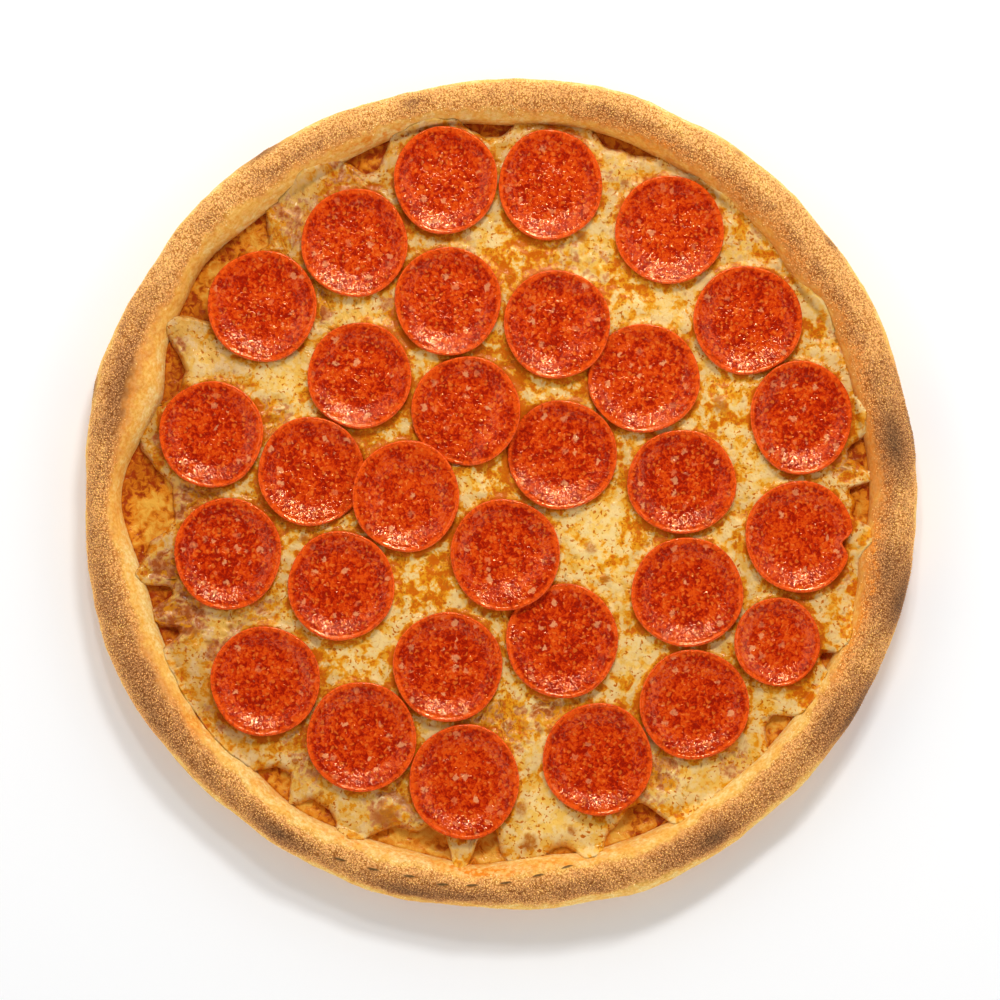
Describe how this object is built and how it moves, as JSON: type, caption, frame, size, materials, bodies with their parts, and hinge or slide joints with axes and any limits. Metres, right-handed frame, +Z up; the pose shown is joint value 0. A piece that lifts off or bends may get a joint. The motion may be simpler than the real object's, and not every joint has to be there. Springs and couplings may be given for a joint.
{
  "type": "pepperoni pizza",
  "caption": "Whole uncut round pizza with a raised, browned rim, topped with tomato sauce, melted cheese and cupped pepperoni slices.",
  "frame": {"origin": "middle of the flat underside of the crust", "axes": "+Z up, out of the toppings; +Y towards the top of the picture; +X to its right"},
  "size_m": [0.3202, 0.3208, 0.0255],
  "materials": {
    "crust": "baked dough, matt and grainy",
    "sauce": "baked tomato sauce, oily",
    "cheese": "melted cheese, satin with oil",
    "pepperoni": "cured sausage, oily"
  },
  "bodies": {
    "root": {"crust": "crust", "sauce": "sauce", "cheese": "cheese", "pepperoni_01": "pepperoni", "pepperoni_02": "pepperoni", "pepperoni_03": "pepperoni", "pepperoni_04": "pepperoni", "pepperoni_05": "pepperoni", "pepperoni_06": "pepperoni", "pepperoni_07": "pepperoni", "pepperoni_08": "pepperoni", "pepperoni_09": "pepperoni", "pepperoni_10": "pepperoni", "pepperoni_11": "pepperoni", "pepperoni_12": "pepperoni", "pepperoni_13": "pepperoni", "pepperoni_14": "pepperoni", "pepperoni_15": "pepperoni", "pepperoni_16": "pepperoni", "pepperoni_17": "pepperoni", "pepperoni_18": "pepperoni", "pepperoni_19": "pepperoni", "pepperoni_20": "pepperoni", "pepperoni_21": "pepperoni", "pepperoni_22": "pepperoni", "pepperoni_23": "pepperoni", "pepperoni_24": "pepperoni", "pepperoni_25": "pepperoni", "pepperoni_26": "pepperoni", "pepperoni_27": "pepperoni", "pepperoni_28": "pepperoni", "pepperoni_29": "pepperoni", "pepperoni_30": "pepperoni"}
  },
  "joints": []
}
